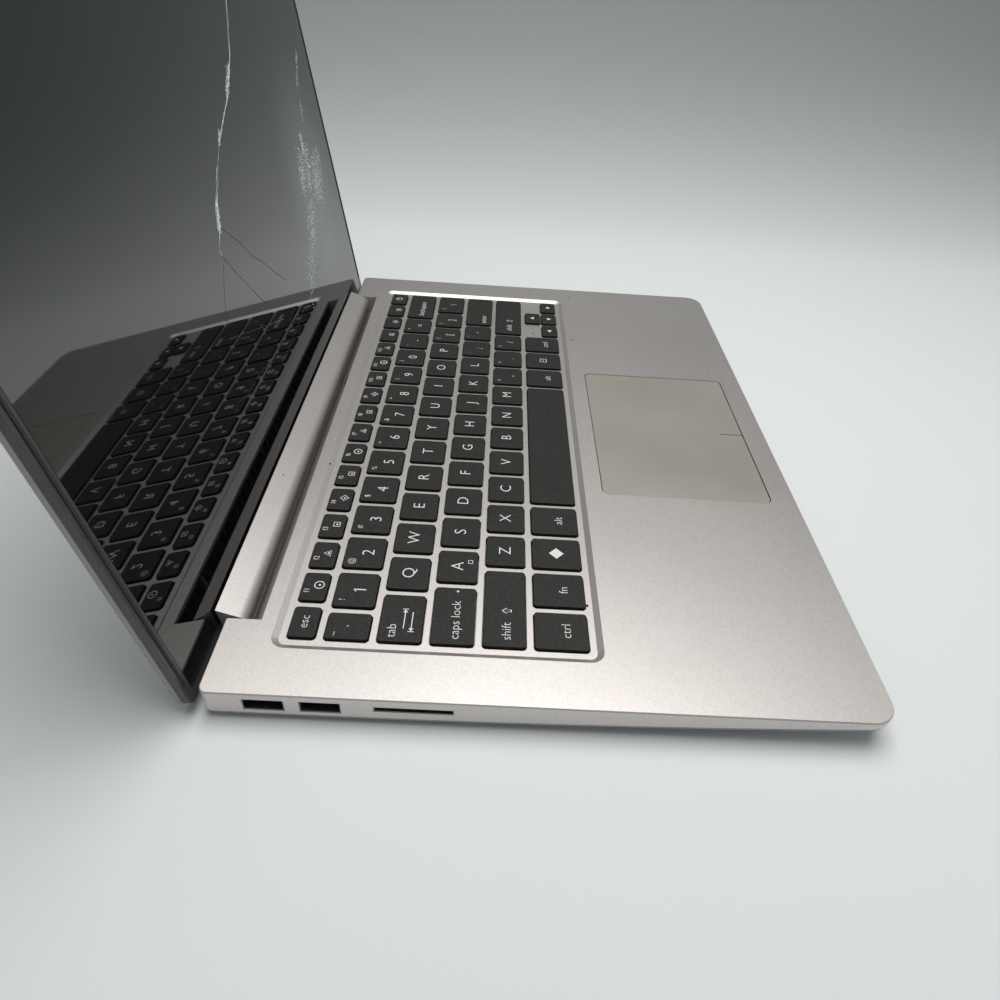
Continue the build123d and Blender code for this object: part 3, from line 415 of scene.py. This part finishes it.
letter, small, tiny = 6.8 * MM, 4.7 * MM, 2.9 * MM
letter_rows = (
    ("number_keys", [0.75] + [1] * 12 + [1.75],
     ["`", *"1234567890-=", "backspace"], ["~", *"!@#$%^&*()_+", ""]),
    ("upper_letter_keys", [1.25] + [1] * 12 + [1.25],
     ["tab", *"QWERTYUIOP[]", "\\"], ["", *[""] * 10, "{", "}", "|"]),
    ("home_letter_keys", [1.5] + [1] * 11,
     ["caps lock", *"ASDFGHJKL;'"], [""] * 10 + [":", '"']),
    ("lower_letter_keys", [2] + [1] * 10 + [2.5],
     ["shift", *"ZXCVBNM,./", "shift"], [""] * 8 + ["<", ">", "?", ""]),
)
for node, row_units, words, shifted in letter_rows:
    legends = Print()
    for (centre, half_x, half_y), text, upper in zip(caps_of(row_units, node), words, shifted):
        if len(text) == 1:
            shift_y = -0.2 * half_y if upper else 0.0
            size = letter if text.isalnum() else small * 1.2
            legends.word(text, centre.x, centre.y + shift_y, centre.z, size)
            if upper:
                legends.word(upper, centre.x - 0.62 * half_x, centre.y + 0.58 * half_y, centre.z, tiny * 1.15)
        else:
            drop = 0.4 * half_y if text == "tab" else -0.1 * half_y
            legends.word(text, centre.x - 0.84 * half_x, centre.y + drop, centre.z, small, "LEFT")
        if text == "1":
            legends.sign([(0.0, 1.0), (-0.75, 0.45), (-0.75, 0.15), (0.0, 0.68)], centre.x - 0.1 * MM,
                         centre.y - 0.2 * half_y + 1.25 * MM, centre.z, 1.25 * MM)
        if text == "tab":
            for way, rise in ((1, -0.12), (-1, -0.48)):
                legends.sign([(way * 2.2, 0), (way * 1.6, 0.4), (way * 1.6, 0.08), (way * -1.7, 0.08),
                              (way * -1.7, -0.08), (way * 1.6, -0.08), (way * 1.6, -0.4)],
                             centre.x - 0.1 * half_x, centre.y + rise * half_y, centre.z, 2.2 * MM)
                legends.sign([(way * 2.2, 0.5), (way * 2.34, 0.5), (way * 2.34, -0.5), (way * 2.2, -0.5)],
                             centre.x - 0.1 * half_x, centre.y + rise * half_y, centre.z, 2.2 * MM)
        if text == "shift":
            after_word = centre.x - 0.84 * half_x + 13.2 * MM
            legends.outline(arrow_up, after_word, centre.y - 0.1 * half_y, centre.z, 1.9 * MM, 0.26)
        if text == "caps lock":
            legends.sign(circle, centre.x + 0.86 * half_x, centre.y - 0.1 * half_y, centre.z, 0.45 * MM)
        if text == "A":
            legends.outline(square, centre.x + 0.3 * half_x, centre.y - 0.62 * half_y, centre.z,
                            1.3 * MM, 0.25)
    legends.piece("legends_" + node, node)

enter_low, enter_high = (Vector(corner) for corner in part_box("enter_key"))
enter = Print()
enter.word("enter", enter_low.x + 2 * MM, (enter_low.y + enter_high.y) / 2 - 3 * MM,
           enter_high.z + print_above, small, "LEFT")
enter.piece("legends_enter", "enter_key")

bottom = Print()
bottom_caps = caps_of([1] * 4 + [5] + [1] * 3, "bottom_keys")
for (centre, half_x, half_y), text in zip(bottom_caps, ["ctrl", "fn", "", "alt", None, "alt", "", "ctrl"]):
    if text:
        bottom.word(text, centre.x, centre.y - 0.2 * half_y, centre.z, small)
    elif text == "" and centre.x < 0:
        bottom.sign(diamond, centre.x, centre.y, centre.z, 2.9 * MM)
    elif text == "":
        bottom.outline(square, centre.x, centre.y, centre.z, 2.6 * MM, 0.16)
        bottom.sign([(-0.5, 0.12), (0.5, 0.12), (0.5, -0.02), (-0.5, -0.02)], centre.x, centre.y, centre.z,
                    2.0 * MM)
bottom.piece("legends_bottom", "bottom_keys")

function_unit = units / 17
function_caps = caps_of([function_unit] * 17, "function_keys")
signs = Print()
for number, (centre, half_x, half_y) in enumerate(function_caps[1:-1], 1):
    if number <= 12:
        signs.word(f"f{number}", centre.x - 0.3 * half_x, centre.y + 0.52 * half_y, centre.z, tiny * 1.05)
    shape = (square, circle, triangle, square, diamond)[number % 5]
    signs.outline(shape, centre.x + 0.1 * half_x, centre.y - 0.32 * half_y, centre.z, 1.9 * MM, 0.2)
    signs.sign(circle, centre.x + 0.1 * half_x, centre.y - 0.35 * half_y, centre.z, 0.45 * MM)
signs.piece("legends_function", "function_keys")

escape = Print()
escape.word("esc", function_caps[0][0].x, function_caps[0][0].y, function_caps[0][0].z, small * 0.95)
escape.piece("legends_escape", "escape_key")
power = Print()
power_at = function_caps[-1][0]
power.outline(circle, power_at.x, power_at.y, power_at.z, 1.9 * MM, 0.18)
power.sign([(-0.12, 1.25), (0.12, 1.25), (0.12, 0.1), (-0.12, 0.1)], power_at.x, power_at.y, power_at.z,
           2.0 * MM)
power.piece("legends_power", "power_key")

arrow_low, arrow_high = (Vector(corner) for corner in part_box("arrow_keys"))
arrow_mid, arrow_step = (arrow_low + arrow_high) / 2, (arrow_high.x - arrow_low.x + gap * MM) / 3
quarter = (arrow_high.y - arrow_low.y) / 4
arrows = Print()
for across, up, quarter_turns in ((-1, -1, 1), (0, -1, 2), (1, -1, 3), (0, 1, 0)):
    spin = math.radians(90 * quarter_turns)
    turned = [(cx * math.cos(spin) - cy * math.sin(spin), cx * math.sin(spin) + cy * math.cos(spin))
              for cx, cy in triangle]
    arrows.sign(turned, arrow_mid.x + across * arrow_step, arrow_mid.y + up * quarter * 1.05,
                arrow_high.z + print_above, 1.7 * MM)
arrows.piece("legends_arrows", "arrow_keys")


# ---------------------------------------------------------------- under the keys
# Pressed steel plate riveted under the web, with folding plastic supports below each cap.
zinc = Finish("zinc_sheet", (0.42, 0.42, 0.43), 0.4, 0.9)
zinc.feed("Base Color", zinc.blend(zinc.cells(140.0), (0.36, 0.36, 0.37), (0.50, 0.50, 0.50)))
zinc.feed("Roughness", 0.34 + zinc.noise(200.0) * 0.2)
dress(zinc, "keyboard_plate", "touchpad_bracket")
nylon = Finish("white_nylon", (0.62, 0.62, 0.60), 0.5)
nylon.mottle(80.0, (0.56, 0.56, 0.54), (0.66, 0.66, 0.64))
dress(nylon, "key_scissors")


# ---------------------------------------------------------------- touchpad
# Etched glass a shade warmer than the deck; a short line at its front edge parts the buttons.
satin = Finish("etched_pad", (0.50, 0.47, 0.42), 0.42, 0.75)
pad_low, pad_high = (Vector(corner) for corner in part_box("touchpad"))
pad_mid_x = (pad_low.x + pad_high.x) / 2
line_half, line_long = 0.35 * MM, 11 * MM
divider = patch(satin, Vector((pad_mid_x - line_half, pad_low.y, 0)),
                Vector((pad_mid_x + line_half, pad_low.y + line_long, 0)), 0.1)
smear = satin.noise(22.0)
pad_tint = satin.blend(smear, (0.55, 0.51, 0.455), (0.61, 0.57, 0.51))
satin.feed("Base Color", satin.blend(divider, pad_tint, (0.20, 0.19, 0.18)))
satin.feed("Roughness", 0.38 + smear * 0.1)
satin.bump(satin.noise(3200.0), 0.1, 0.00003)
dress(satin, "touchpad")


# ---------------------------------------------------------------- grille, sockets
# Black moulded comb in the hinge cut-out, and pressed steel socket shells with black tongues.
matt_black = Finish("matt_black", (0.014, 0.014, 0.014), 0.55)
matt_black.mottle(200.0, (0.010, 0.010, 0.010), (0.022, 0.021, 0.020))
matt_black.bump(matt_black.noise(2500.0), 0.2, 0.00004)
dress(matt_black, "exhaust_grille", "socket_tongues", "audio_jack", "power_inlet", "left_speaker",
      "right_speaker", "fan_housing", "fan_rotor", "webcam_module", "antennas")
socket_tin = Finish("socket_tin", (0.34, 0.34, 0.34), 0.32, 1.0)
socket_tin.feed("Roughness", 0.26 + socket_tin.noise(700.0) * 0.16)
socket_tin.mottle(90.0, (0.27, 0.27, 0.27), (0.40, 0.40, 0.39))
dress(socket_tin, "usb_socket_rear", "usb_socket_front", "card_reader", "hdmi_socket", "usb_c_socket")


# ---------------------------------------------------------------- inside the base
# Boards, chips, battery, cooling and hinge steel, each with its own finish.
inner_finishes = (
    ("green_laminate", (0.012, 0.06, 0.03), (0.02, 0.10, 0.05), 0.35, 0.0, ("mainboard", "side_board")),
    ("chip_black", (0.02, 0.02, 0.022), (0.04, 0.04, 0.042), 0.5, 0.0,
     ("processor", "memory_chips", "solid_state_drive", "wireless_card")),
    ("battery_wrap", (0.025, 0.025, 0.03), (0.045, 0.045, 0.05), 0.38, 0.0, ("battery_pack",)),
    ("bare_copper", (0.62, 0.28, 0.15), (0.72, 0.36, 0.22), 0.3, 1.0, ("heat_pipe",)),
    ("fin_metal", (0.55, 0.55, 0.55), (0.66, 0.66, 0.66), 0.35, 1.0, ("fin_stack",)),
    ("ribbon_black", (0.03, 0.03, 0.03), (0.06, 0.06, 0.06), 0.45, 0.0,
     ("display_cable_base", "display_cable_lid")),
    ("hinge_steel_grey", (0.32, 0.32, 0.33), (0.44, 0.44, 0.45), 0.33, 1.0,
     ("hinge_bracket_left", "hinge_bracket_right", "hinge_arm_left", "hinge_arm_right", "hinge_pins",
      "lid_magnets")),
    ("panel_dark", (0.01, 0.01, 0.012), (0.02, 0.02, 0.022), 0.25, 0.0, ("display_panel",)),
)
for name, dark, light, roughness, metal, nodes in inner_finishes:
    inner = Finish(name, dark, roughness, metal)
    grain = inner.noise(260.0, 3.0)
    inner.feed("Base Color", inner.blend(grain, dark, light))
    inner.feed("Roughness", roughness - 0.05 + grain * 0.12)
    dress(inner, *nodes)


# ---------------------------------------------------------------- lid frame
# Dark grey moulded rim round the glass, satin, its tone mottled a little all over.
rim_grey = Finish("rim_grey", (0.05, 0.051, 0.05), 0.38)
rub = rim_grey.noise(120.0)
rim_grey.feed("Base Color", rim_grey.blend(rub, (0.040, 0.041, 0.040), (0.075, 0.075, 0.072)))
rim_grey.feed("Roughness", 0.32 + rub * 0.14)
rim_grey.bump(rim_grey.noise(2200.0), 0.15, 0.00003)
dress(rim_grey, "lid_frame")


# ---------------------------------------------------------------- cracked cover glass
# One sheet of hardened glass, black behind, glued into the frame. A long crack runs down from
# the top edge and forks; beside the right edge the glass is crushed into pale streaks. The long
# crack's faces and the crushed grains glow faintly as a painted highlight.
black_glass = Finish("black_glass", (0.004, 0.004, 0.0045), 0.03, 0.0, IOR=2.05)
film = black_glass.noise(14.0, 4.0)
haze = black_glass.noise(180.0, 2.0)
clear = black_glass.blend(film, (0.0008, 0.0014, 0.0017), (0.003, 0.0045, 0.005))
across, _, height = black_glass.axes()
crush_x, crush_z, powder_reach = 108 * MM, 82 * MM, 0.055
off_x, off_z = across - crush_x, height - crush_z
from_crush = (off_x * off_x + off_z * off_z * 0.6).root()
dusty = black_glass.node("ShaderNodeMapRange", {"interpolation_type": "SMOOTHSTEP"},
                         i0=from_crush, i1=0.0, i2=powder_reach, i3=1.0, i4=0.0)
dusty = Value(black_glass.tree, dusty.outputs[0])
powder = dusty * (0.35 + black_glass.noise(260.0, 4.0) * 0.6)
black_glass.feed("Base Color", black_glass.blend(powder, clear, (0.16, 0.17, 0.17)))
black_glass.feed("Roughness", 0.012 + film * 0.03 + (haze > 0.66) * 0.02)
dress(black_glass, "cover_glass")

joint = frame["joints"]["lid_hinge"] if isinstance(frame["joints"], dict) else next(
    item for item in frame["joints"] if item["name"] == "lid_hinge")
hinge_at = Vector(joint["pos_m"])
lean = math.radians(9.0)
screen_up = Vector((0, math.sin(lean), math.cos(lean)))
screen_out = Vector((0, -math.cos(lean), math.sin(lean)))
glass_behind = 5.3 * MM


def on_glass(x, s, proud=0.0):
    """A point on the glass from lid coordinates in millimetres."""
    return hinge_at + Vector((x * MM, 0, 0)) + screen_up * (s * MM) + screen_out * (proud * MM - glass_behind)


# Painted highlight: crack faces and grains glow faintly, and patches of brighter colour stand in for glints.
split_white_glowing = Finish("split_glass_glowing", (0.62, 0.65, 0.66), 0.25, 0.15, Emission_Color=(0.9, 0.95, 1.0, 1.0),
                     Emission_Strength=0.28)
glint = split_white_glowing.noise(700.0, 2.0)
split_white_glowing.feed("Base Color", split_white_glowing.blend(glint, (0.45, 0.48, 0.49), (0.95, 0.97, 0.98)))
split_white_glowing.feed("Roughness", 0.18 + glint * 0.3)

chance = random.Random(7)
splinters, dark_splits, hairlines = Print(), Print(), Print()


def splinter(path, widest, jitter=0.35, into=splinters):
    """A crack face seen through the glass: a thin ragged ribbon whose width keeps changing."""
    fine = []
    for (x0, s0), (x1, s1) in zip(path, path[1:]):
        steps = max(2, int(math.hypot(x1 - x0, s1 - s0) / 1.6))
        for step in range(steps):
            share = step / steps
            fine.append((x0 + (x1 - x0) * share + chance.uniform(-jitter, jitter),
                         s0 + (s1 - s0) * share + chance.uniform(-jitter, jitter)))
    fine.append(path[-1])
    left, right = [], []
    for index, (x, s) in enumerate(fine):
        before, after = fine[max(index - 1, 0)], fine[min(index + 1, len(fine) - 1)]
        run = math.hypot(after[0] - before[0], after[1] - before[1]) or 1.0
        across = (-(after[1] - before[1]) / run, (after[0] - before[0]) / run)
        half = widest * chance.uniform(0.15, 0.6) * (0.35 if index in (0, len(fine) - 1) else 1.0)
        left.append(on_glass(x + across[0] * half, s + across[1] * half, 0.015))
        right.append(on_glass(x - across[0] * half, s - across[1] * half, 0.015))
    count = len(fine)
    into.add([tuple(p) for p in left + right],
             [[i, i + 1, count + i + 1, count + i] for i in range(count - 1)])


long_crack = [(112, 215), (98, 202), (84, 189), (70, 178), (55, 164), (41, 147), (27, 136), (15, 130.3),
              (2, 123.5), (-6, 117.5), (-17.5, 107.2), (-20, 106), (-24, 99), (-29, 94.5), (-29, 91.5)]
forks = (
    [(-22.5, 100.5), (-9.5, 90), (-1, 81), (7.5, 75.5), (18.5, 66), (30, 58)],
    [(-29, 91.5), (-22, 82.5), (-12, 71), (-2, 60)],
    [(-30.5, 89), (-37.5, 82), (-42.5, 75.5), (-45.5, 70.5)],
    [(-47.5, 67), (-38, 64), (-16.5, 56.5), (13.5, 46.5)],
    [(25, 45), (7.5, 41), (-13, 41.3), (-36, 43.8), (-48, 43.4), (-60, 46.7)],
    [(44.5, 38.5), (13.5, 35.5), (-16, 34)],
)
splinter(long_crack, 0.22, 0.12)
splinter([(x + 1.2, s + 0.5) for x, s in long_crack[4:9]], 0.25)
splinter([(x - 0.9, s + 0.4) for x, s in long_crack[9:13]], 0.3)
for fork in forks[:3]:
    splinter(fork, 0.4, 0.12, dark_splits)
for fork in forks[3:]:
    splinter(fork, 0.14, 0.2, hairlines)
split_dark = Finish("split_dark", (0.012, 0.013, 0.014), 0.6)
split_dark.mottle(500.0, (0.008, 0.009, 0.010), (0.03, 0.032, 0.033))


def glass_piece(name, drawn, finish):
    """A drawn layer of flat slivers, as a piece that moves with the lid."""
    mesh = bpy.data.meshes.new(name)
    mesh.from_pydata(drawn.points, [], drawn.faces)
    mesh.materials.append(finish.material)
    face_towards(mesh, screen_out)
    item = bpy.data.objects.new(name, mesh)
    bpy.context.scene.collection.objects.link(item)
    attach(item, "lid")


glass_piece("crack_splinters", splinters, split_white_glowing)
glass_piece("crack_shadows", dark_splits, split_dark)
split_faint = Finish("split_faint", (0.14, 0.17, 0.17), 0.3)
split_faint.mottle(400.0, (0.07, 0.09, 0.09), (0.20, 0.24, 0.24))
glass_piece("crack_hairlines", hairlines, split_faint)


# ---------------------------------------------------------------- crushed glass
# Tiny grains of shattered glass still held by the film, in short streaks beside the right edge
# and at three places on the long crack; they glow faintly, a painted highlight. One node tree
# scatters a streak of them.
crush = bpy.data.node_groups.new("crush_streak", "GeometryNodeTree")
identifiers = {}
for label, kind, number in (("Start", "NodeSocketVector", None), ("End", "NodeSocketVector", None),
                            ("Count", "NodeSocketInt", 100), ("Spread", "NodeSocketFloat", 1.0),
                            ("Grain", "NodeSocketFloat", 0.3), ("Seed", "NodeSocketInt", 1)):
    plug = crush.interface.new_socket(label, in_out="INPUT", socket_type=kind)
    if number is not None:
        plug.default_value = number
    identifiers[label] = plug.identifier
crush.interface.new_socket("Geometry", in_out="OUTPUT", socket_type="NodeSocketGeometry")


def crush_node(kind, settings=None, **links):
    """One node of the streak tree; an input's key is i and its number."""
    node = crush.nodes.new(kind)
    for key, setting in (settings or {}).items():
        setattr(node, key, setting)
    for key, item in links.items():
        slot = node.inputs[int(key[1:])]
        if isinstance(item, bpy.types.NodeSocket):
            crush.links.new(item, slot)
        else:
            slot.default_value = item
    return node


given = crush_node("NodeGroupInput").outputs
streak_line = crush_node("GeometryNodeCurvePrimitiveLine", i0=given["Start"], i1=given["End"])
streak_points = crush_node("GeometryNodeCurveToPoints", {"mode": "COUNT"}, i0=streak_line.outputs[0],
                           i1=given["Count"])


def scattered(seed_step, low, high):
    """A random vector for each grain."""
    seed = crush_node("ShaderNodeMath", {"operation": "ADD"}, i0=given["Seed"], i1=float(seed_step))
    found = crush_node("FunctionNodeRandomValue", {"data_type": "FLOAT_VECTOR"}, i0=low, i1=high)
    crush.links.new(seed.outputs[0], found.inputs["Seed"])
    return found.outputs[0]


drift = crush_node("ShaderNodeVectorMath", {"operation": "ADD"},
                   i0=scattered(0, (-1.2, -1.2, 0), (1.2, 1.2, 0.1)),
                   i1=scattered(1, (-1.2, -1.2, 0), (1.2, 1.2, 0)))
wide_drift = crush_node("ShaderNodeVectorMath", {"operation": "SCALE"}, i0=drift.outputs[0])
crush.links.new(given["Spread"], wide_drift.inputs["Scale"])
moved = crush_node("GeometryNodeSetPosition", i0=streak_points.outputs[0], i3=wide_drift.outputs[0])
chip = crush_node("GeometryNodeMeshCircle", {"fill_type": "NGON"}, i0=3, i1=1.0)
chip_size = crush_node("ShaderNodeVectorMath", {"operation": "SCALE"},
                       i0=scattered(2, (0.25, 0.2, 1.0), (1.6, 1.0, 1.0)))
crush.links.new(given["Grain"], chip_size.inputs["Scale"])
placed = crush_node("GeometryNodeInstanceOnPoints", i0=moved.outputs[0], i2=chip.outputs[0],
                    i5=scattered(3, (-0.25, -0.25, 0.0), (0.25, 0.25, math.tau)), i6=chip_size.outputs[0])
real = crush_node("GeometryNodeRealizeInstances", i0=placed.outputs[0])
coated = crush_node("GeometryNodeSetMaterial", i0=real.outputs[0], i2=split_white_glowing.material)
crush_node("NodeGroupOutput", i0=coated.outputs[0])

# Each streak: its two ends on the glass, how far grains stray from it, and how many there are.
streaks = (
    ((139.5, 135.5), (125, 121.5), 0.7, 110), ((125, 117), (121, 108), 0.8, 40),
    ((109.5, 103), (107, 95), 0.9, 130), ((100, 95), (91, 80), 2.4, 330),
    ((112, 96), (103, 78), 3.0, 330), ((124, 90), (112, 72), 3.0, 380),
    ((134, 90), (118, 68), 3.0, 330), ((98, 72), (82, 58), 3.2, 330),
    ((82, 56), (60, 44), 2.8, 220), ((66, 44), (54, 34), 2.0, 70),
    ((36, 144), (25, 136), 0.7, 220), ((6, 127.5), (2, 123), 0.5, 60),
    ((-18, 108), (-24, 99), 0.6, 220),
)
grain_size = 0.34
grains = Print()
for seed, ((x0, s0), (x1, s1), spread, count) in enumerate(streaks, 1):
    streak = bpy.data.objects.new("streak", bpy.data.meshes.new("streak"))
    bpy.context.scene.collection.objects.link(streak)
    nodes_on = streak.modifiers.new("streak", "NODES")
    nodes_on.node_group = crush
    for label, number in (("Start", (x0, s0, 0.1)), ("End", (x1, s1, 0.1)), ("Count", count),
                          ("Spread", spread), ("Grain", grain_size), ("Seed", 10 * seed)):
        nodes_on[identifiers[label]] = number
    flat = bpy.data.meshes.new_from_object(streak.evaluated_get(bpy.context.evaluated_depsgraph_get()))
    grains.add([tuple(on_glass(v.co.x, v.co.y, min(max(v.co.z, 0.015), 0.2))) for v in flat.vertices],
               [list(f.vertices) for f in flat.polygons])
    bpy.data.objects.remove(streak)
    bpy.data.meshes.remove(flat)
glass_piece("crushed_grains", grains, split_white_glowing)
